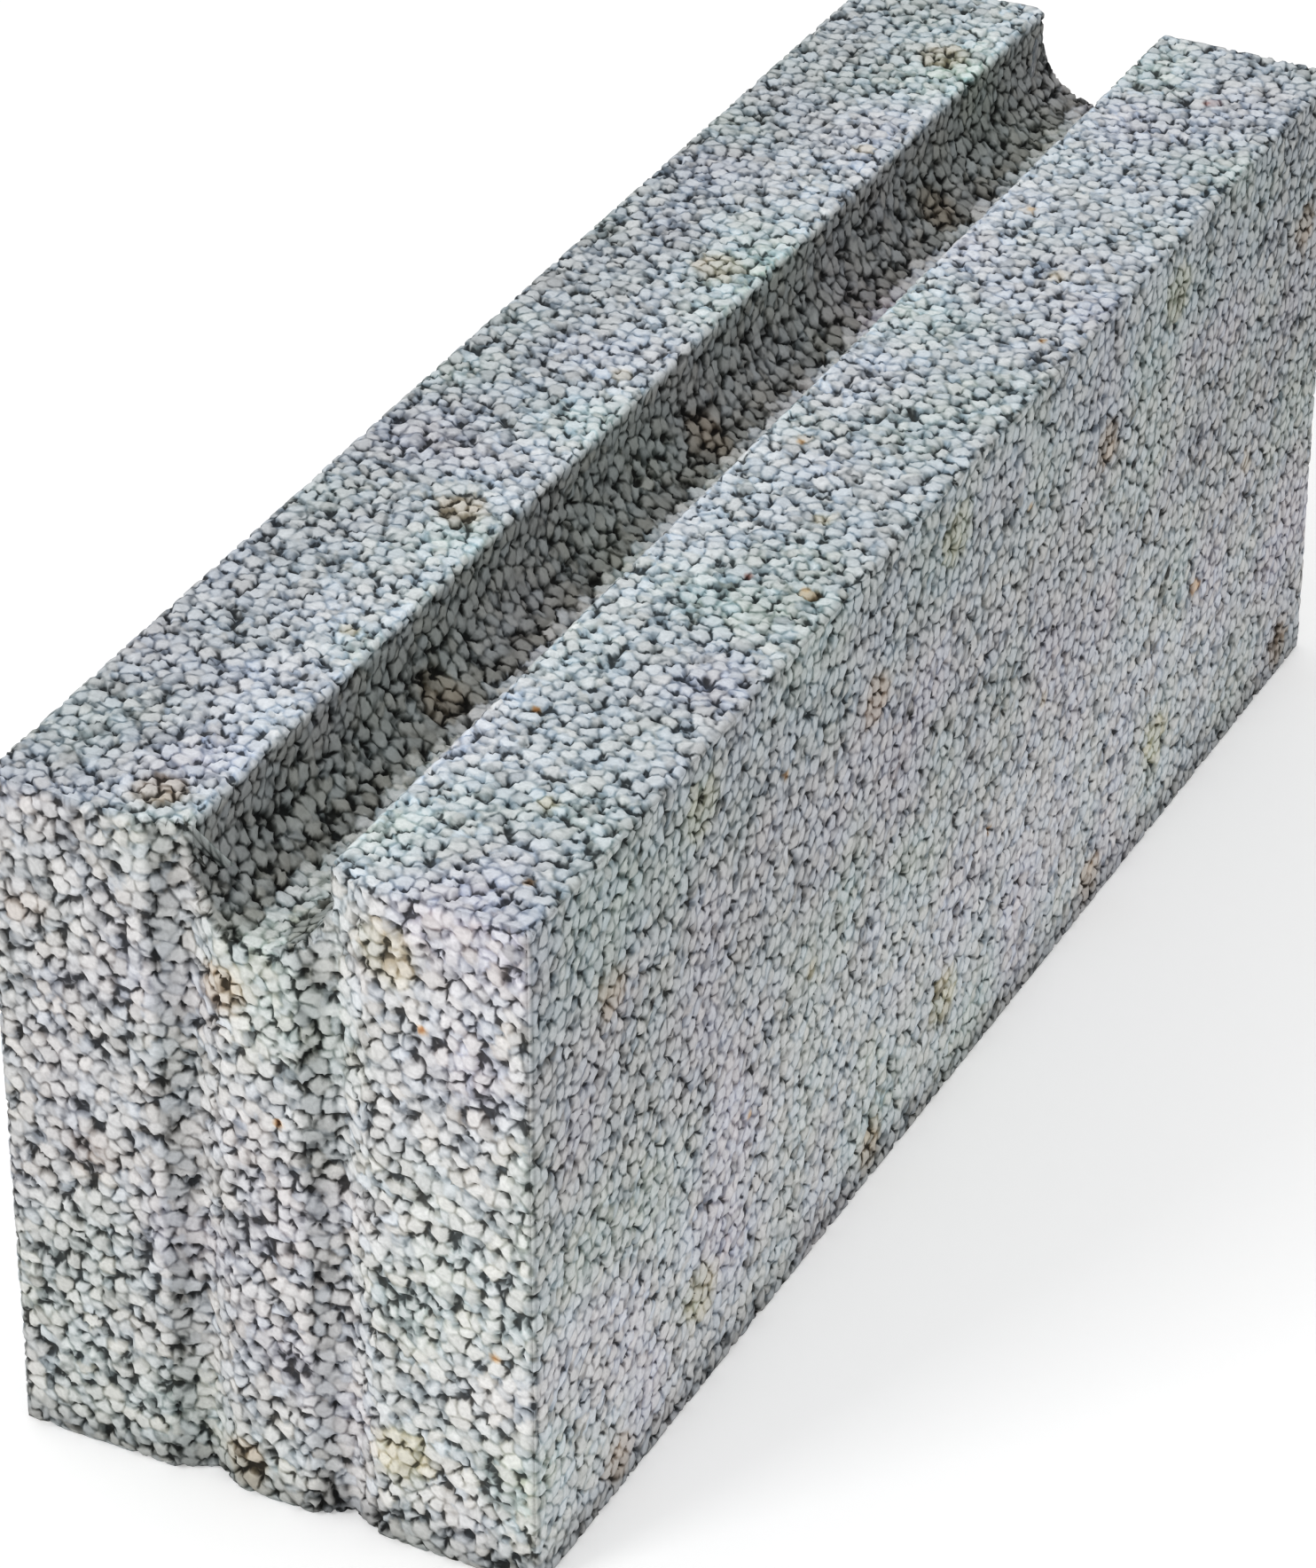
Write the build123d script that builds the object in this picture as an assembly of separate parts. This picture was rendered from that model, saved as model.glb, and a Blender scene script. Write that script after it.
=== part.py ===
from build123d import *
import os

# Lightweight-aggregate concrete building block, cast in one piece in an upright mould.
# Millimetres. X runs across the wall, Y along it and Z up. The origin is the centre of
# the bottom bed face. The keyed end faces -Y and the plain end faces +Y.

# Block body
BLOCK_LENGTH = 498.0
BLOCK_WIDTH = 148.0
BLOCK_HEIGHT = 195.0
UPRIGHT_ARRIS_RADIUS = 2.5
BED_ARRIS_RADIUS = 1.2

# Reinforcement groove, pressed along the whole top bed: two upright walls over a round bowl
GROOVE_WIDTH = 37.0
GROOVE_WALL = 8.5
GROOVE_BOWL = 18.5
GROOVE_LIP_RADIUS = 1.2

# Mortar keys, the two shallow upright V notches that ribs of the mould leave in one end
KEY_PITCH = 40.0
KEY_MOUTH = 20.0
KEY_DEPTH = 5.0
KEY_LIP_RADIUS = 6.0
KEY_ROOT_RADIUS = 1.5

KEYED_END = -BLOCK_LENGTH / 2
PLAIN_END = BLOCK_LENGTH / 2
SIDE = BLOCK_WIDTH / 2
# How far the groove's cutter stands clear of the block, above it and past each end
CUTTER_OVERRUN = 5.0


def key_corners(centre):
    """Corners of one V key, from -X to +X, each with the radius that rounds it."""
    return [
        ((centre - KEY_MOUTH / 2, KEYED_END), KEY_LIP_RADIUS),
        ((centre, KEYED_END + KEY_DEPTH), KEY_ROOT_RADIUS),
        ((centre + KEY_MOUTH / 2, KEYED_END), KEY_LIP_RADIUS),
    ]


def plan():
    """Plan of the mould cavity: a rectangle whose -Y end has the two keys."""
    corners = [
        ((-SIDE, KEYED_END), UPRIGHT_ARRIS_RADIUS),
        *key_corners(-KEY_PITCH / 2),
        *key_corners(KEY_PITCH / 2),
        ((SIDE, KEYED_END), UPRIGHT_ARRIS_RADIUS),
        ((SIDE, PLAIN_END), UPRIGHT_ARRIS_RADIUS),
        ((-SIDE, PLAIN_END), UPRIGHT_ARRIS_RADIUS),
    ]
    points = [point for point, radius in corners]
    radii = [radius for point, radius in corners]
    with BuildSketch(Plane.XY) as sketch:
        with BuildLine():
            FilletPolyline(*points, radius=radii, close=True)
        make_face()
    return sketch.sketch


def groove_section():
    """Section of the groove in XZ, with its lips eased where they meet the top bed."""
    half = GROOVE_WIDTH / 2
    mouth = half + GROOVE_LIP_RADIUS
    wall_foot = BLOCK_HEIGHT - GROOVE_WALL
    lip_foot = BLOCK_HEIGHT - GROOVE_LIP_RADIUS
    clear = BLOCK_HEIGHT + CUTTER_OVERRUN
    with BuildSketch(Plane.XZ.offset(CUTTER_OVERRUN - KEYED_END)) as sketch:
        with BuildLine():
            Polyline((-mouth, BLOCK_HEIGHT), (-mouth, clear), (mouth, clear), (mouth, BLOCK_HEIGHT))
            TangentArc((half, lip_foot), (mouth, BLOCK_HEIGHT), tangent=(0, 1))
            Line((half, lip_foot), (half, wall_foot))
            ThreePointArc((half, wall_foot), (0, wall_foot - GROOVE_BOWL), (-half, wall_foot))
            Line((-half, wall_foot), (-half, lip_foot))
            TangentArc((-half, lip_foot), (-mouth, BLOCK_HEIGHT), tangent=(0, 1))
        make_face()
    return sketch.sketch


def block():
    """The whole casting."""
    with BuildPart() as casting:
        extrude(plan(), amount=BLOCK_HEIGHT)
        beds = casting.faces().filter_by(Axis.Z)
        fillet(beds.edges(), BED_ARRIS_RADIUS)
        cutter_length = BLOCK_LENGTH + 2 * CUTTER_OVERRUN
        extrude(groove_section(), amount=cutter_length, dir=(0, 1, 0), mode=Mode.SUBTRACT)
    return casting.part


os.makedirs("parts", exist_ok=True)
export_step(block(), "parts/concrete_block.step")
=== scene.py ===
import math

import bmesh
import bpy
from bpy.props import EnumProperty, FloatProperty, FloatVectorProperty, PointerProperty
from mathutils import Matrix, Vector


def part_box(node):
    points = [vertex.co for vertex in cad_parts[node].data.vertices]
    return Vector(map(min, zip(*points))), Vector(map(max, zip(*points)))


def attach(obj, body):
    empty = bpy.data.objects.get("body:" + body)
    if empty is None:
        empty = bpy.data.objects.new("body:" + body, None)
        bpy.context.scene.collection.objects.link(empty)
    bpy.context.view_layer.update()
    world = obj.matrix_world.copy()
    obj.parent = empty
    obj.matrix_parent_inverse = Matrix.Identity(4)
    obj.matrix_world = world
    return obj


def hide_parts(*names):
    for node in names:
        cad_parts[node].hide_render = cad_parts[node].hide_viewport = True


bl_info = {
    "name": "Lightweight Concrete Block",
    "version": (1, 0, 0),
    "blender": (4, 5, 0),
    "location": "View3D > Sidebar > Concrete",
    "description": "Dresses a grooved lightweight concrete block in grains, paste and stains",
    "category": "Object",
}

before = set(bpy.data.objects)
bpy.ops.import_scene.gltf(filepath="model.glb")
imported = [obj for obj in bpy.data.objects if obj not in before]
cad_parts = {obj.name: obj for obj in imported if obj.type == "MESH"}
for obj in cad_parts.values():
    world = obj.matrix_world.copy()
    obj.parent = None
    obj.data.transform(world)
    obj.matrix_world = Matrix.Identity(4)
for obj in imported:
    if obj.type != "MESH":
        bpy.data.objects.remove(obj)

MM = 0.001
BLOCK = "concrete_block"
LOW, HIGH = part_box(BLOCK)
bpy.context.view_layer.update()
SIDES = ("keyed_end", "plain_end", "top_bed", "bottom_bed", "right_side", "left_side")

# The groove in the top bed: half its width, and its depth
GROOVE_HALF = 18.5 * MM
GROOVE_DEPTH = 27 * MM
# The same two measures of the room in which a cell of the skin belongs to the groove
GROOVE_ROOM = (21.5 * MM, 31 * MM)

# A face is turned a way fully where its normal points that way by the second number, and
# not at all by the first
TURNED = (0.6, 0.8)

# The mosaic of grains, in millimetres. A joint, pit or dark rim is full up to the first
# distance from the line between two grains, and gone at the second.
UNEVENNESS = 0.9
JOINT_WIDTH = (0.0, 0.9)
PIT_WIDTH = (0.2, 0.74)
RIM_WIDTH = (0.1, 1.1)
# How far in a place is, as a share of how much nearer it is to its own grain's centre than
# to the next one's
INWARD = 0.6
# How often the joints wander, and how far
SWAY_SCALE = 0.26
SWAY = 2.6
# The joints gape in some places more than in others. They start to open at the first
# number, and are open, or deepened to pits, at the second.
GAPE_SCALE = 0.38
JOINT_OPENS = (0.36, 0.6)
PIT_OPENS = (0.57, 0.635)
CLOSED_JOINT = 0.12
# How much more they gape far from the grains' centres, and how much less on the flanks of
# the notches
OUTER_GAPE = 0.35
FLANK_GAPE = 0.04
# Depths in millimetres: of the grains that lie low, and of all relief at an arris
SUNK_GRAIN = 0.2
ARRIS_RELIEF = 0.2
# A joint's depth as a share of a pit's
JOINT_SHARE = 0.2
# How light the grains are against their tint, and how much darker the rest is; the rims and
# pits are darkened as painted shade
GRAIN_TONE = 1.12
RIM_SHADE = 0.13
JOINT_SHADE = 0.62
PIT_SHADE = 0.8
# How much the flecks differ in tone, and in height in millimetres
FLECK_CONTRAST = 0.5
FLECK_HEIGHT = 0.25

# How finely the large patches of tint and the small flecks in the grains are strewn
PATCH_SCALE = 0.022
FLECK_SCALE = 0.9

# Colours that multiply the grains' own
BLOOM_COLOUR = (0.93, 0.98, 1.02)
# Painted shade on the long sides
SIDE_SHADE_COLOUR = (0.95, 0.96, 0.98)
DAMP_COLOUR = (0.91, 0.95, 0.95)
DUST_COLOUR = (1.0, 0.96, 0.93)
# A painted highlight on the groove's lips
LIP_HIGHLIGHT_COLOUR = (1.2, 1.2, 1.2)

# The bake map of a side: its cast face fills the lower band and its hidden walls the
# upper one. Each band is (start, height).
CAST_BAND = (0.01, 0.93)
HIDDEN_BAND = (0.955, 0.04)
MAP_MARGIN = 0.005

# The camera: its place, how far it looks down and is turned, and its focal length as a
# share of the picture's height
CAMERA_PLACE = (0.6080, -1.2312, 0.9583)
CAMERA_DOWN = math.radians(32.882)
CAMERA_TURN = math.radians(27.039)
CAMERA_LENS = 6723.5 / 1768
SENSOR = 36.0
# Where the large lamp stands, and what it is turned to
KEY_PLACE = (-0.75, -1.75, 1.35)
KEY_AIM = (0.0, -0.05, 0.12)


def on_end(*spots):
    """Places on the keyed end, from (across from its left arris, up) in millimetres."""
    return [(LOW.x / MM + across, LOW.y / MM, up) for across, up in spots]


def on_top(*spots):
    """Places on the top bed, from (across, along from the keyed end) in millimetres."""
    return [(LOW.x / MM + across, LOW.y / MM + along, HIGH.z / MM) for across, along in spots]


def on_side(*spots):
    """Places on the right side, from (along from the keyed end, up) in millimetres."""
    return [(HIGH.x / MM, LOW.y / MM + along, up) for along, up in spots]


def in_bowl(*spots):
    """Places on the left flank of the groove's bowl, from (along from the keyed end)."""
    across, down = -11.8, 22.7
    return [(across, LOW.y / MM + along, HIGH.z / MM - down) for along in spots]


# Each kind's colour, which multiplies the grains', its reach in millimetres, and how far
# it opens the joints
STAIN_KINDS = {
    "brown": ((0.94, 0.84, 0.74), 7.5, 0.06),
    "yellow": ((1.0, 0.96, 0.84), 9.0, 0.03),
    "orange": ((1.0, 0.72, 0.45), 1.4, 0.0),
    "tan": ((1.0, 0.93, 0.82), 3.0, 0.04),
    "red": ((0.7, 0.4, 0.34), 1.3, 0.0),
    "pink": ((1.0, 0.95, 0.92), 7.0, 0.0),
    "umber": ((0.9, 0.79, 0.68), 8.0, 0.05),
    # Pores are black spots of painted shade, holes that the mesh doesn't have
    "pore_shade": ((0.05, 0.05, 0.05), 1.8, 0.0),
}
STAINS = {
    "brown": [
        *on_end((64, 153), (65, 10)),
        *on_top((41.6, 14.4), (41.6, 161.6), (41.6, 308.8), (41.6, 454.4)),
        *on_side((41.6, 153.4), (187.2, 153.4), (334.4, 153.4), (478.4, 153.4)),
        *on_side((43.2, 11), (188.8, 11), (335.4, 11), (478, 11)),
    ],
    "yellow": [
        *on_end((110, 177), (110, 29)),
        *on_side((88, 177.4), (235, 177.4), (381, 177.4), (88, 31.8), (235, 31.8), (381, 31.8)),
    ],
    "orange": [
        *on_end((119, 159), (79, 119), (137, 69)),
        *on_top((104, 85.8), (104, 232), (104, 378), (137.6, 19), (137.6, 165), (137.6, 310)),
        *on_side((115, 70), (262, 70), (408, 70), (134, 161), (281.6, 161)),
    ],
    "tan": [
        *on_top((46, 97.6), (46, 243), (46, 390), (126, 51), (126, 198.4), (126, 345.6)),
        *on_side((150.4, 92.6), (296, 92.6), (441.6, 92.6)),
    ],
    "red": on_top((122, 165), (122, 461)),
    "pink": on_end((25, 92), (11, 161)),
    "umber": in_bowl(113, 260, 407),
    # Pores, painted as spots of shade
    "pore_shade": on_side((61.4, 137.4), (208, 137.4), (354, 137.4), (92, 87), (238, 87), (384, 87)),
}


class Wire:
    """An output socket in a node tree. Plain arithmetic on wires adds its Math nodes."""

    def __init__(self, tree, socket=None):
        self.tree = tree
        self.socket = socket

    def node(self, kind, settings=None, values=None, output=0):
        """Adds any node: its settings come first, then its sockets' values or wires."""
        made = self.tree.nodes.new(kind)
        for name, value in (settings or {}).items():
            setattr(made, name, value)
        for key, value in (values or {}).items():
            socket = named(made.inputs, key)
            if isinstance(value, Wire):
                self.tree.links.new(value.socket, socket)
            else:
                socket.default_value = value
        return Wire(self.tree, named(made.outputs, output) if made.outputs else None)

    def also(self, output):
        """Another output of the node that this wire comes from."""
        return Wire(self.tree, named(self.socket.node.outputs, output))

    def math(self, operation, *values):
        """A Math node of these wires and numbers."""
        return self.node("ShaderNodeMath", {"operation": operation}, dict(enumerate(values)))

    def vector(self, operation, *values, output=0):
        """A Vector Math node of these wires and vectors."""
        settings = {"operation": operation}
        return self.node("ShaderNodeVectorMath", settings, dict(enumerate(values)), output)

    def __add__(self, other):
        return self.math("ADD", self, other)

    def __radd__(self, other):
        return self.math("ADD", other, self)

    def __sub__(self, other):
        return self.math("SUBTRACT", self, other)

    def __rsub__(self, other):
        return self.math("SUBTRACT", other, self)

    def __mul__(self, other):
        return self.math("MULTIPLY", self, other)

    def __rmul__(self, other):
        return self.math("MULTIPLY", other, self)

    def __truediv__(self, other):
        return self.math("DIVIDE", self, other)

    def __neg__(self):
        return self.math("MULTIPLY", self, -1.0)

    def __gt__(self, other):
        return self.math("GREATER_THAN", self, other)

    def __lt__(self, other):
        return self.math("LESS_THAN", self, other)

    def __abs__(self):
        return self.math("ABSOLUTE", self)

    def least(self, other):
        return self.math("MINIMUM", self, other)

    def most(self, other):
        return self.math("MAXIMUM", self, other)

    def between(self, low, high):
        """0 below low, 1 above high and a smooth step between them."""
        values = {"Value": self, "From Min": low, "From Max": high}
        return self.node("ShaderNodeMapRange", {"interpolation_type": "SMOOTHSTEP"}, values)

    def split(self):
        """The three parts of a vector or colour."""
        parts = self.node("ShaderNodeSeparateXYZ", None, {0: self})
        return [parts.also(axis) for axis in "XYZ"]

    def joined(self, x, y, z=0.0):
        """A vector of three parts, each a wire or a number."""
        return self.node("ShaderNodeCombineXYZ", None, {"X": x, "Y": y, "Z": z})

    def scaled(self, share):
        """A vector or colour times a number."""
        values = {"Vector": self, "Scale": share}
        return self.node("ShaderNodeVectorMath", {"operation": "SCALE"}, values)

    def times(self, colour, share):
        """A colour multiplied by another, by the share of it that is wanted."""
        other = colour if isinstance(colour, Wire) else (*colour, 1.0)
        settings = {"data_type": "RGBA", "blend_type": "MULTIPLY"}
        values = {"Factor": share, "A": self, "B": other}
        return self.node("ShaderNodeMix", settings, values, "Result")


def named(sockets, key):
    """A socket by its place, or the first one in use that has the name."""
    if isinstance(key, int):
        return sockets[key]
    return next(socket for socket in sockets if socket.name == key and socket.enabled)


class ConcreteLook(bpy.types.PropertyGroup):
    """Sizes and colours of the block's dressing."""

    cell: FloatProperty(
        name="Mesh cell",
        description="Size of the square cells that the cast faces are meshed with",
        default=1.05 * MM,
        unit="LENGTH",
    )
    grain: FloatProperty(
        name="Grain",
        description="Mean distance between the grains' centres",
        default=4.0 * MM,
        unit="LENGTH",
    )
    pit_depth: FloatProperty(
        name="Pit depth",
        description="Depth of the pits between grains, which the joints' depth is a share of",
        default=1.3 * MM,
        unit="LENGTH",
    )
    grain_colour: FloatVectorProperty(
        name="Grain colour",
        description="Mean colour of the grains' faces",
        default=(0.63, 0.64, 0.64),
        subtype="COLOR",
        size=3,
    )
    # Painted shade in the groove, where its walls and floor are out of the light
    groove_shade_colour: FloatVectorProperty(
        name="Groove colour",
        description="What the grains' colour is multiplied by in the groove",
        default=(0.465, 0.442, 0.402),
        subtype="COLOR",
        size=3,
    )
    # Painted shade on the notches' flanks that face away from the lamp
    flank_shade_colour: FloatVectorProperty(
        name="Notch flank colour",
        description="What the grains' colour is multiplied by on the notches' dull flanks",
        default=(0.7, 0.71, 0.71),
        subtype="COLOR",
        size=3,
    )
    foot_colour: FloatVectorProperty(
        name="Foot colour",
        description="What the grains' colour is multiplied by along the foot of the block",
        default=(0.58, 0.58, 0.58),
        subtype="COLOR",
        size=3,
    )


class StageLook(bpy.types.PropertyGroup):
    """Floor and lights of the stage."""

    floor_colour: FloatVectorProperty(
        name="Floor colour",
        description="Colour of the pale floor",
        default=(0.86, 0.86, 0.86),
        subtype="COLOR",
        size=3,
    )
    floor_glow: FloatProperty(
        name="Floor glow",
        description="How much whiter the floor is to the camera than the light makes it",
        default=0.3,
        subtype="FACTOR",
    )
    sky: FloatProperty(
        name="Sky",
        description="Strength of the even light from all round",
        default=0.79,
        subtype="FACTOR",
    )
    key: FloatProperty(
        name="Key",
        description="Power of the large lamp on the left",
        default=13.0,
        unit="POWER",
    )
    key_size: FloatProperty(
        name="Key size",
        description="Width of the large lamp, which softens its shadows",
        default=0.6,
        unit="LENGTH",
    )


def new_tree(name):
    """An empty geometry tree that takes a geometry and gives one."""
    tree = bpy.data.node_groups.new(name, "GeometryNodeTree")
    tree.interface.new_socket("Geometry", in_out="INPUT", socket_type="NodeSocketGeometry")
    tree.interface.new_socket("Geometry", in_out="OUTPUT", socket_type="NodeSocketGeometry")
    return tree


def run_tree(mesh, tree):
    """The mesh that a geometry tree makes of another."""
    holder = bpy.data.objects.new(tree.name, mesh)
    bpy.context.scene.collection.objects.link(holder)
    holder.modifiers.new(tree.name, "NODES").node_group = tree
    depsgraph = bpy.context.evaluated_depsgraph_get()
    made = bpy.data.meshes.new_from_object(holder.evaluated_get(depsgraph))
    bpy.data.objects.remove(holder)
    made.name = tree.name
    return made


def store(geometry, name, value, kind, domain="POINT"):
    """The geometry with a value kept on it under a name."""
    return geometry.node(
        "GeometryNodeStoreNamedAttribute",
        {"data_type": kind, "domain": domain},
        {"Geometry": geometry, "Name": name, "Value": value},
    )


def recall(start, name, kind):
    """The value that is kept under a name."""
    return start.node("GeometryNodeInputNamedAttribute", {"data_type": kind}, {"Name": name})


def moved(geometry, **places):
    """The geometry with its points set to a Position or shifted by an Offset."""
    return geometry.node("GeometryNodeSetPosition", None, {"Geometry": geometry, **places})


def noise(place, scale, detail, output=0):
    """Smooth noise, about 0.5 in the mean."""
    values = {"Vector": place, "Scale": scale, "Detail": detail}
    return place.node("ShaderNodeTexNoise", None, values, output)


def casting():
    """A copy of the block's own mesh, its loose triangles merged, to grow the dressing from."""
    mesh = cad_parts[BLOCK].data.copy()
    work = bmesh.new()
    work.from_mesh(mesh)
    bmesh.ops.remove_doubles(work, verts=work.verts, dist=0.01 * MM)
    work.to_mesh(mesh)
    work.free()
    mesh.materials.clear()
    return mesh


def sway(place):
    """A place in millimetres, shifted a little this way and that, so that the joints wander."""
    drift = noise(place, SWAY_SCALE, 1.0, "Color")
    drift = place.vector("SUBTRACT", drift, (0.5, 0.5, 0.5))
    return place.vector("ADD", place, place.vector("MULTIPLY", drift, (SWAY, SWAY, SWAY)))


def mosaic(bent, grain):
    """The distance in from the nearest joint, in millimetres, and the grain it belongs to."""
    seeds = {"Vector": bent, "Scale": 1 / grain, "Randomness": UNEVENNESS}
    near = bent.node("ShaderNodeTexVoronoi", None, seeds)
    next_near = bent.node("ShaderNodeTexVoronoi", {"feature": "F2"}, seeds)
    return (next_near - near) * (INWARD * grain), near


def joints(edge, near, gape):
    """How much of a joint and of a pit there is, from how far the joints gape here."""
    gape = gape + (near - 0.5) * OUTER_GAPE
    opened = CLOSED_JOINT + (1 - CLOSED_JOINT) * gape.between(*JOINT_OPENS)
    joint = (1 - edge.between(*JOINT_WIDTH)) * opened
    pit = (1 - edge.between(*PIT_WIDTH)) * gape.between(*PIT_OPENS)
    return joint, pit


def even_skin(mould, look):
    """The mould's faces as an even mesh of square cells that lies right on them."""
    band = 4 * look.cell
    volume = mould.node(
        "GeometryNodeMeshToVolume",
        {"resolution_mode": "VOXEL_SIZE"},
        {"Mesh": mould, "Density": 1.0, "Voxel Size": look.cell, "Interior Band Width": band},
    )
    skin = mould.node("GeometryNodeVolumeToMesh", None, {"Volume": volume, "Threshold": 0.2})
    faces = {"target_element": "FACES"}
    nearest = mould.node("GeometryNodeProximity", faces, {"Geometry": mould}, "Position")
    return moved(skin, Position=nearest)


def skin_tree(look):
    """The cast faces as an even mesh, with the grains' relief pressed into it."""
    tree = new_tree("cast_skin")
    start = Wire(tree)
    skin = even_skin(start.node("NodeGroupInput"), look)
    position = start.node("GeometryNodeInputPosition")
    normal = start.node("GeometryNodeInputNormal")
    place = start.vector("MULTIPLY", position, (1 / MM, 1 / MM, 1 / MM))
    bent = sway(place)
    edge, near = mosaic(bent, look.grain / MM)
    seed = near.also("Position")
    stain, shade, opening = stain_here(place, seed)
    flank = on_flank(position, normal)
    gape = noise(place, GAPE_SCALE, 1.0) - FLANK_GAPE * flank + stain * opening
    painted_shade, dust_and_lit_floor, lip_highlight = in_groove(position, normal, seed)
    colour = grain_tint(place, near.also("Color"), look)
    colour = face_tint(colour, place, normal, look)
    # Stains, then painted shade in the groove and on the notches' flanks, dust on the groove's
    # floor, and a painted highlight on its lips
    for other, share in (
        (shade, stain),
        (look.groove_shade_colour, painted_shade),
        (DUST_COLOUR, dust_and_lit_floor),
        (LIP_HIGHLIGHT_COLOUR, lip_highlight),
        (look.flank_shade_colour, flank),
    ):
        colour = colour.times(other, share)
    skin = store(skin, "mould", position, "FLOAT_VECTOR")
    skin = store(skin, "side", side_number(position, normal), "FLOAT", "FACE")
    skin = store(skin, "bent", bent, "FLOAT_VECTOR")
    skin = store(skin, "tint", colour, "FLOAT_COLOR")
    skin = store(skin, "gape", gape, "FLOAT")
    joint, pit = joints(edge, near, gape)
    sunk = near.also("Color").split()[0].between(0.55, 1.0)
    depth = (joint * JOINT_SHARE + pit) * (look.pit_depth / MM) + sunk * SUNK_GRAIN
    depth = depth.least(ARRIS_RELIEF + 0.5 * arris_room(place))
    skin = moved(skin, Offset=normal.scaled(depth * -MM))
    start.node("NodeGroupOutput", None, {"Geometry": skin})
    return tree


def cast_skin(look):
    """The skin's mesh, which all the sides are cut from."""
    skin = run_tree(casting(), skin_tree(look))
    bpy.data.objects.remove(bpy.data.objects["stain_places"])
    return skin


def arris_room(place):
    """How far a place on the faces is from the nearest arris, in millimetres."""
    x, y, z = place.split()
    middle = (HIGH.z + LOW.z) / 2 / MM
    room_x = HIGH.x / MM - abs(x)
    room_y = HIGH.y / MM - abs(y)
    room_z = middle - abs(z - middle)
    return room_x.least(room_y).most(room_x.most(room_y).least(room_z))


def side_number(position, normal):
    """The number, in SIDES, of the side that a cell of the skin belongs to."""
    x, _, z = position.split()
    nx, ny, nz = normal.split()
    # A cell that faces two ways alike goes to a bed before an end, and to an end before a side
    across, along, up = abs(nx), abs(ny) * 1.01, abs(nz) * 1.02
    aside, down = GROOVE_ROOM
    groove = (abs(x) < aside) * (z > HIGH.z - down) * (along < 0.72)
    end = (1 - groove) * (along > across) * (along > up)
    bed = (1 - end) * groove.most(up > across)
    bed_number = SIDES.index("top_bed") + (nz < 0.0) * (1 - groove)
    end_number = SIDES.index("keyed_end") + (ny > 0.0)
    flank_number = SIDES.index("right_side") + (nx < 0.0)
    return end * end_number + bed * bed_number + (1 - end - bed) * flank_number


def stain_places():
    """Stains, specks and the painted shade of pores as points in millimetres, with what
    STAIN_KINDS says of each.
    """
    places = bpy.data.meshes.new("stain_places")
    work = bmesh.new()
    colour = work.verts.layers.float_color.new("colour")
    reach = work.verts.layers.float.new("reach")
    opening = work.verts.layers.float.new("opening")
    for kind, spots in STAINS.items():
        shade, width, gap = STAIN_KINDS[kind]
        for spot in spots:
            vert = work.verts.new(spot)
            vert[colour] = (*shade, 1.0)
            vert[reach] = width
            vert[opening] = gap
    work.to_mesh(places)
    work.free()
    return bpy.data.objects.new("stain_places", places)


def stain_here(place, seed):
    """The nearest stain: its share in the grain with this seed, its colour and its opening."""
    stains = place.node("GeometryNodeObjectInfo", None, {"Object": stain_places()}, "Geometry")
    here = {"Geometry": stains, "Sample Position": place}
    nearest = place.node("GeometryNodeSampleNearest", {"domain": "POINT"}, here)

    def of_nearest(value, kind):
        return place.node(
            "GeometryNodeSampleIndex",
            {"data_type": kind, "domain": "POINT"},
            {"Geometry": stains, "Value": value, "Index": nearest},
        )

    spot = of_nearest(place.node("GeometryNodeInputPosition"), "FLOAT_VECTOR")
    reach = of_nearest(recall(place, "reach", "FLOAT"), "FLOAT")
    shade = of_nearest(recall(place, "colour", "FLOAT_COLOR"), "FLOAT_COLOR")
    opening = of_nearest(recall(place, "opening", "FLOAT"), "FLOAT")
    away = place.vector("DISTANCE", seed, spot, output="Value")
    away = away.least(place.vector("DISTANCE", place, spot, output="Value"))
    return 1 - away.between(reach * 0.55, reach * 1.25), shade, opening


def grain_tint(place, chance, look):
    """The colour of each grain, by its own chance and the large patches that it lies in."""
    light, warm, odd = chance.split()
    green, violet, _ = noise(place, PATCH_SCALE, 1.0, "Color").split()
    # One grain in twenty-five is darker than the rest
    tone = 0.9 + light * 0.2 - (odd > 0.96) * 0.15
    red = tone * (1 + (warm - 0.5) * 0.06 + (violet - 0.5) * 0.12)
    middle = tone * (1 + (green - 0.5) * 0.1)
    blue = tone * (1 - (warm - 0.5) * 0.07 + (violet - 0.5) * 0.14)
    return place.vector("MULTIPLY", place.joined(red, middle, blue), look.grain_colour)


def face_tint(colour, place, normal, look):
    """The colour as it differs over the faces: a bluish top, painted shade on the sides that
    deepens towards the plain end, damp upper sides, a dark foot.
    """
    x, y, z = place.split()
    across, along, up = normal.split()
    bed = up.between(*TURNED)
    beside = abs(across).between(*TURNED)
    before = (-along).between(*TURNED)
    upright = 1 - abs(up).between(*TURNED)
    # How far each tone departs from the mean, and the band of millimetres it comes in over
    by_groove = 0.09 - 0.09 * abs(x).between(24.0, 46.0)
    outer = 0.1 * (-x).between(40.0, 52.0)
    upper = 0.19 * z.between(50.0, 125.0)
    # Painted shade: the sides darken towards the plain end, as the light falls off
    far = 0.12 * y.between(100.0, 235.0)
    rightward = 0.14 * x.between(-80.0, 80.0)
    tone = (1 + bed * (by_groove - outer)) * (1 + beside * (0.09 - upper - far))
    tone = tone * (1 + before * (rightward - 0.07))
    for other, share in (
        (BLOOM_COLOUR, bed),
        (SIDE_SHADE_COLOUR, beside),
        (DAMP_COLOUR, beside * z.between(148.0, 166.0)),
        (look.foot_colour, upright * (1 - z.between(0.0, 15.0))),
    ):
        colour = colour.times(other, share)
    return colour.scaled(tone)


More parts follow.
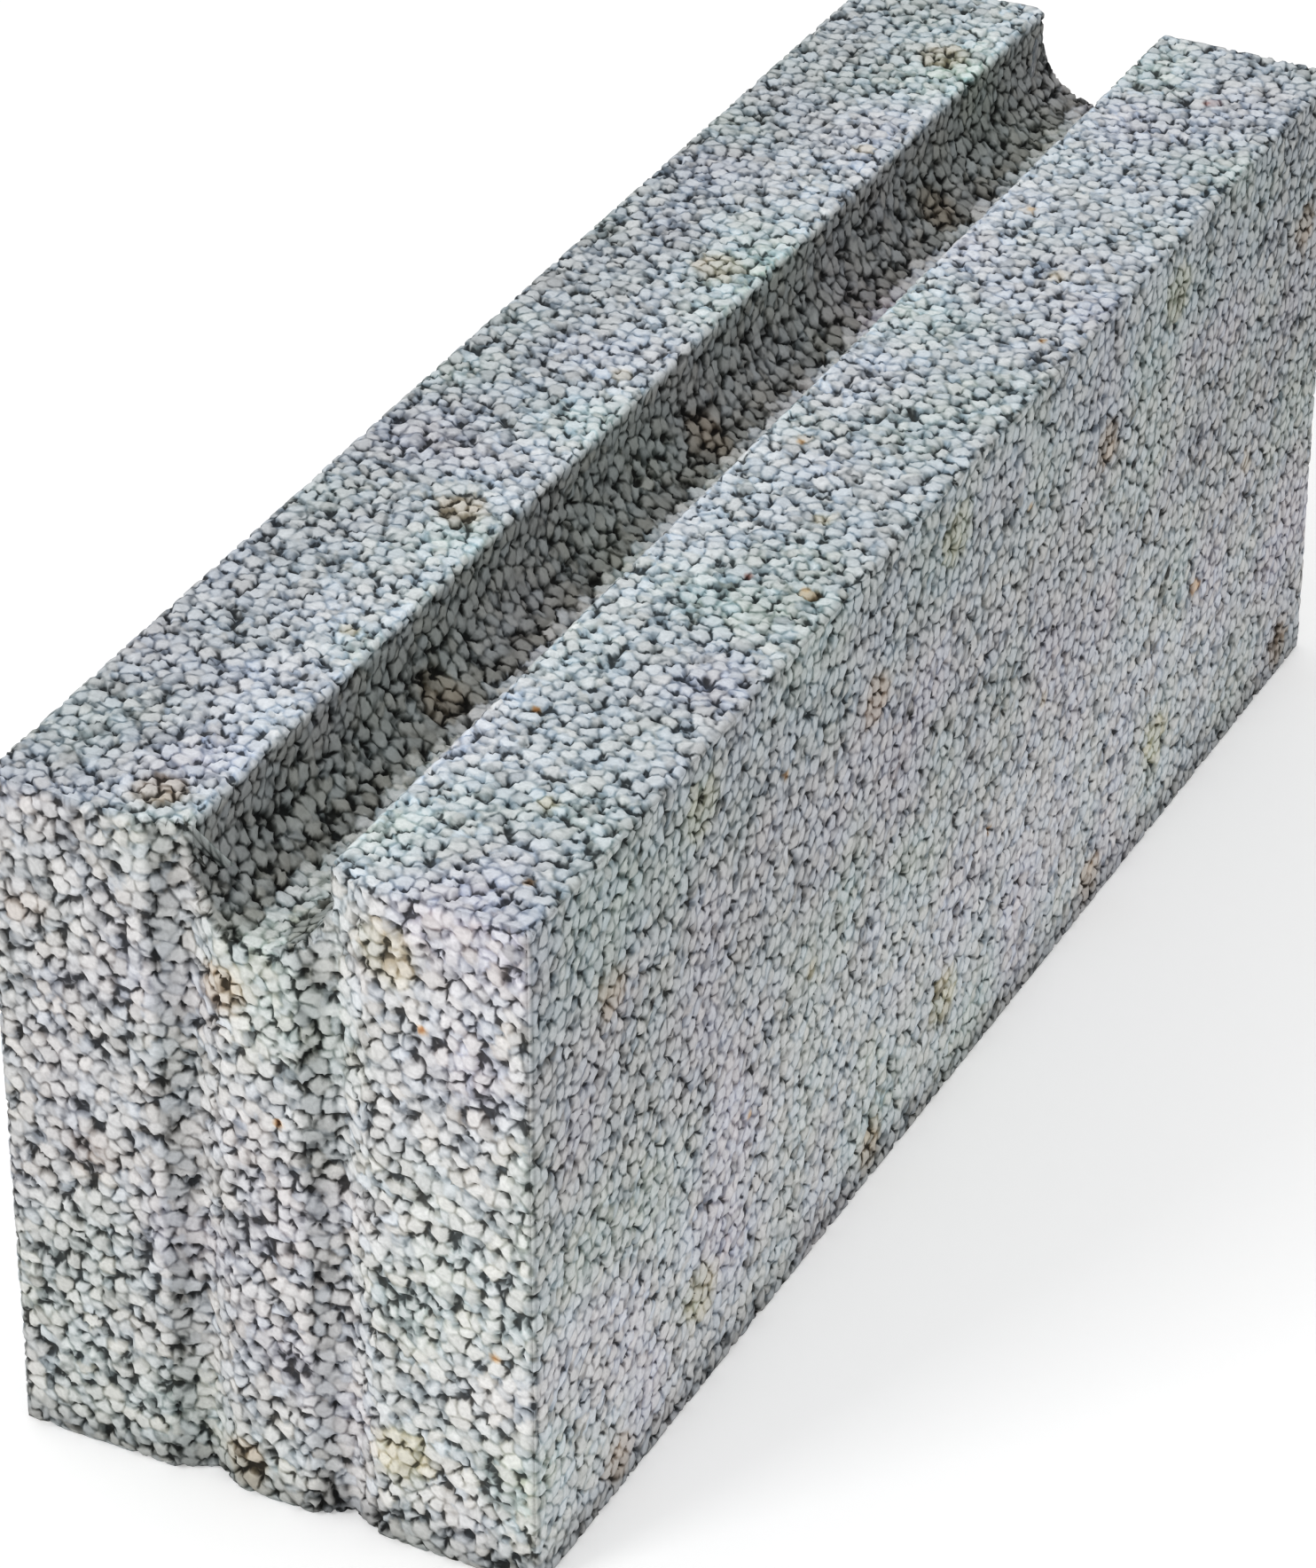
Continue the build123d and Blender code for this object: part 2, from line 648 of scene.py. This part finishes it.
def in_groove(position, normal, seed):
    """How much painted shade the groove has, where dust lies on its floor and the shade there
    is lifted as painted light, and a painted highlight on its lips.
    """
    x, y, z = position.split()
    aside, down = abs(x), HIGH.z - z
    inside = (aside < 19 * MM) * (down < 31 * MM) * (abs(normal.split()[1]) < 0.7)
    # The dust lies on whole grains, along the middle of the floor, and there the painted shade
    # is lifted as painted light on the floor that faces up
    dust_and_lit_floor = inside * (down > 20 * MM) * (1 - abs(seed.split()[0]).between(4.0, 5.4))
    # The walls have less painted shade than the floor, and so has the floor near the keyed end
    floor = 1 - aside.between(2 * MM, 12 * MM)
    mouth = 1 - (y - LOW.y).between(2 * MM, 16 * MM)
    # Painted shade: the groove darkened where its walls and floor are out of the light
    painted_shade = inside * down.between(1 * MM, 4 * MM) * (1 - 0.38 * aside.between(6 * MM, 15 * MM))
    painted_shade = painted_shade * (1 - 0.55 * floor * mouth) * (1 - dust_and_lit_floor)
    # A painted highlight on the groove's lips, pale where they round over
    off_lip = down + (aside - GROOVE_HALF).most(0.0)
    lip_highlight = (aside > 18 * MM) * (1 - off_lip.between(0.5 * MM, 2.5 * MM))
    return painted_shade, dust_and_lit_floor, lip_highlight


def on_flank(position, normal):
    """How much painted shade the key's notches have, on their flanks that face away from the
    left side and its lamp.
    """
    across, along, _ = normal.split()
    inward = position.split()[1] - LOW.y
    # The painted shade starts at the arris and eases off towards the root
    painted_shade = inward.between(0.1 * MM, 1.2 * MM) * (1 - 0.7 * inward.between(2.4 * MM, 4.4 * MM))
    return painted_shade * (inward < 8 * MM) * (abs(along) > 0.3) * (across > 0.15)


def side_tree(name):
    """One side's share of the skin, closed behind by walls that run in to the block's heart."""
    tree = new_tree(name)
    start = Wire(tree)
    mine = abs(recall(start, "side", "FLOAT") - SIDES.index(name)) < 0.5
    cut = {"Geometry": start.node("NodeGroupInput"), "Selection": mine}
    share = start.node("GeometryNodeSeparateGeometry", {"domain": "FACE"}, cut)
    # An edge of the cut has a cell on one side only
    rim = start.node("GeometryNodeInputMeshEdgeNeighbors") < 1.5
    out = {"Mesh": share, "Selection": rim, "Offset Scale": 0.0}
    walls = start.node("GeometryNodeExtrudeMesh", {"mode": "EDGES"}, out)
    hidden = walls.also("Side")
    position = start.node("GeometryNodeInputPosition")
    along = position.split()[1]
    # Each half's walls run in to a heart as far from its end as from the sides
    toward_end = (1 - 2 * (along < 0.0)) * (HIGH.y - HIGH.x)
    heart = start.joined(0.0, toward_end, (HIGH.z + LOW.z) / 2)
    body = moved(walls, Selection=walls.also("Top"), Position=heart)
    merge = {"Geometry": body, "Distance": 0.001 * MM}
    body = start.node("GeometryNodeMergeByDistance", None, merge)
    cast = banded(flat_map(name, recall(start, "mould", "FLOAT_VECTOR")), CAST_BAND)
    tucked = banded(flat_map(name, position), HIDDEN_BAND)
    pick = {"Switch": hidden, "False": cast, "True": tucked}
    chart = start.node("GeometryNodeSwitch", {"input_type": "VECTOR"}, pick)
    body = store(body, "OFBake", chart, "FLOAT2", "CORNER")
    for picked, smooth in ((True, True), (hidden, False)):
        shading = {"Geometry": body, "Selection": picked, "Shade Smooth": smooth}
        body = start.node("GeometryNodeSetShadeSmooth", None, shading)
    start.node("NodeGroupOutput", None, {"Geometry": body})
    return tree


def banded(chart, band):
    """A chart squeezed into a band of the map."""
    start, height = band
    return chart.vector("MULTIPLY_ADD", chart, (1.0, height, 1.0), (0.0, start, 0.0))


def flat_map(name, place):
    """A side's cast face laid out flat and scaled to fill a square, the groove unrolled."""
    x, y, z = place.split()
    wide, long, tall = HIGH.x - LOW.x, HIGH.y - LOW.y, HIGH.z - LOW.z
    if name in ("right_side", "left_side"):
        across, up = (y - LOW.y) / long, (z - LOW.z) / tall
    elif name in ("keyed_end", "plain_end"):
        across, up = (x - LOW.x) / wide, (z - LOW.z) / tall
    elif name == "bottom_bed":
        across, up = (y - LOW.y) / long, (x - LOW.x) / wide
    else:
        depth = (HIGH.z - z) * (abs(x) < 30 * MM)
        unrolled = x + x.math("SIGN", x) * (GROOVE_DEPTH - depth)
        across = (y - LOW.y) / long
        up = (unrolled + (HIGH.x + GROOVE_DEPTH)) / (wide + 2 * GROOVE_DEPTH)
    if name in ("plain_end", "left_side", "top_bed"):
        across = 1 - across
    return place.joined(across * (1 - 2 * MAP_MARGIN) + MAP_MARGIN, up)


def new_material(name):
    """A material with one Principled shader, and a wire to start its tree from."""
    material = bpy.data.materials.new(name)
    material.use_nodes = True
    shader = material.node_tree.nodes["Principled BSDF"]
    return material, shader, Wire(material.node_tree)


def kept(start, name, output):
    """What the geometry keeps under a name, in a material."""
    return start.node("ShaderNodeAttribute", {"attribute_name": name}, None, output)


def concrete_material(look):
    """Pale grains with darker rims, flecks of paste, dark joints and darker pits; the rims' and
    pits' darkness is painted shade.
    """
    material, shader, start = new_material("Cast concrete")
    bent = kept(start, "bent", "Vector")
    tint = kept(start, "tint", "Color")
    edge, near = mosaic(bent, look.grain / MM)
    joint, pit = joints(edge, near, kept(start, "gape", "Fac"))
    fleck = noise(bent, FLECK_SCALE, 2.0) - 0.5
    # The rims are darkened as painted shade, where the grains round off into the joints
    rim = 1 - edge.between(*RIM_WIDTH)
    tone = (GRAIN_TONE - RIM_SHADE * rim) * (1 - JOINT_SHADE * joint)
    # The pits are darkened as painted shade, the shade deep in the voids between grains
    tone = tone * (1 - PIT_SHADE * pit) * (1 + fleck * FLECK_CONTRAST)
    # Joints and pits have the grain's tint twice, so that a stain is stronger in them
    strong = start.vector("MULTIPLY", tint, tint).scaled(2.5)
    colour = tint.times(strong, pit.most(joint)).scaled(tone)
    start.tree.links.new(colour.socket, shader.inputs["Base Color"])
    rough = {"Strength": 1.0, "Distance": MM, "Height": fleck * FLECK_HEIGHT}
    bump = start.node("ShaderNodeBump", None, rough)
    start.tree.links.new(bump.socket, shader.inputs["Normal"])
    shader.inputs["Roughness"].default_value = 0.92
    shader.inputs["Specular IOR Level"].default_value = 0.3
    return material


class CONCRETE_OT_cast(bpy.types.Operator):
    """Casts one side of the block, its grains and joints pressed into the moulded face"""

    bl_idname = "concrete.cast"
    bl_label = "Cast Side"

    side: EnumProperty(
        name="Side",
        description="The side that is cast",
        items=[(side, side.replace("_", " ").capitalize(), "") for side in SIDES],
    )

    def execute(self, context):
        look = context.scene.concrete_look
        skin = bpy.data.meshes.get("cast_skin") or cast_skin(look)
        material = bpy.data.materials.get("Cast concrete") or concrete_material(look)
        mesh = run_tree(skin, side_tree(self.side))
        mesh.materials.clear()
        mesh.materials.append(material)
        piece = bpy.data.objects.new(self.side, mesh)
        context.scene.collection.objects.link(piece)
        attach(piece, "root")
        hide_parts(BLOCK)
        return {"FINISHED"}


class CONCRETE_OT_stage(bpy.types.Operator):
    """Sets the floor, the light and the camera"""

    bl_idname = "concrete.stage"
    bl_label = "Set Stage"

    def execute(self, context):
        look = context.scene.concrete_stage
        lay_floor(context.scene, look)
        light_stage(context.scene, look)
        place_camera(context.scene)
        return {"FINISHED"}


def lay_floor(scene, look):
    """A pale floor that takes the block's shadow and fades to white."""
    mesh = bpy.data.meshes.new("floor")
    work = bmesh.new()
    bmesh.ops.create_grid(work, x_segments=1, y_segments=1, size=6.0)
    work.to_mesh(mesh)
    work.free()
    floor = bpy.data.objects.new("floor", mesh)
    scene.collection.objects.link(floor)
    material, shader, start = new_material("Floor")
    shader.inputs["Base Color"].default_value = (*look.floor_colour, 1.0)
    shader.inputs["Roughness"].default_value = 0.9
    shader.inputs["Emission Strength"].default_value = 1.0
    seen = start.node("ShaderNodeLightPath", None, None, "Is Camera Ray") * look.floor_glow
    start.tree.links.new(start.joined(seen, seen, seen).socket, shader.inputs["Emission Color"])
    mesh.materials.append(material)


def light_stage(scene, look):
    """Even light from all round, white behind the block, and one large soft lamp."""
    world = bpy.data.worlds.new("Studio")
    scene.world = world
    world.use_nodes = True
    start = Wire(world.node_tree)
    back = world.node_tree.nodes["Background"]
    seen = start.node("ShaderNodeLightPath", None, None, "Is Camera Ray")
    strength = seen * (1 - look.sky) + look.sky
    start.tree.links.new(strength.socket, back.inputs["Strength"])
    back.inputs["Color"].default_value = (1.0, 1.0, 1.0, 1.0)
    key = bpy.data.lights.new("Key", "AREA")
    key.energy = look.key
    key.size = look.key_size
    lamp = bpy.data.objects.new("Key", key)
    scene.collection.objects.link(lamp)
    lamp.location = KEY_PLACE
    lamp.rotation_euler = (Vector(KEY_AIM) - lamp.location).to_track_quat("-Z", "Y").to_euler()


def place_camera(scene):
    """The camera, where the photograph was taken from."""
    data = bpy.data.cameras.new("Camera")
    data.sensor_width = SENSOR
    data.lens = CAMERA_LENS * SENSOR
    camera = bpy.data.objects.new("Camera", data)
    scene.collection.objects.link(camera)
    camera.location = CAMERA_PLACE
    camera.rotation_euler = (math.pi / 2 - CAMERA_DOWN, 0.0, CAMERA_TURN)
    scene.camera = camera
    scene.view_settings.view_transform = "Standard"


class CONCRETE_PT_panel(bpy.types.Panel):
    """Lists the block's operators and sizes"""

    bl_idname = "CONCRETE_PT_panel"
    bl_label = "Concrete Block"
    bl_space_type = "VIEW_3D"
    bl_region_type = "UI"
    bl_category = "Concrete"

    def draw(self, context):
        layout = self.layout
        for look in (context.scene.concrete_look, context.scene.concrete_stage):
            for name in look.__annotations__:
                layout.prop(look, name)
        for side in SIDES:
            layout.operator("concrete.cast", text=side).side = side
        layout.operator("concrete.stage")


CLASSES = (ConcreteLook, StageLook, CONCRETE_OT_cast, CONCRETE_OT_stage, CONCRETE_PT_panel)


def register():
    for cls in CLASSES:
        bpy.utils.register_class(cls)
    bpy.types.Scene.concrete_look = PointerProperty(type=ConcreteLook)
    bpy.types.Scene.concrete_stage = PointerProperty(type=StageLook)


def unregister():
    del bpy.types.Scene.concrete_stage
    del bpy.types.Scene.concrete_look
    for cls in reversed(CLASSES):
        bpy.utils.unregister_class(cls)


def main():
    """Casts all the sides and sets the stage."""
    register()
    for side in SIDES:
        bpy.ops.concrete.cast(side=side)
    bpy.ops.concrete.stage()


if __name__ == "__main__":
    main()
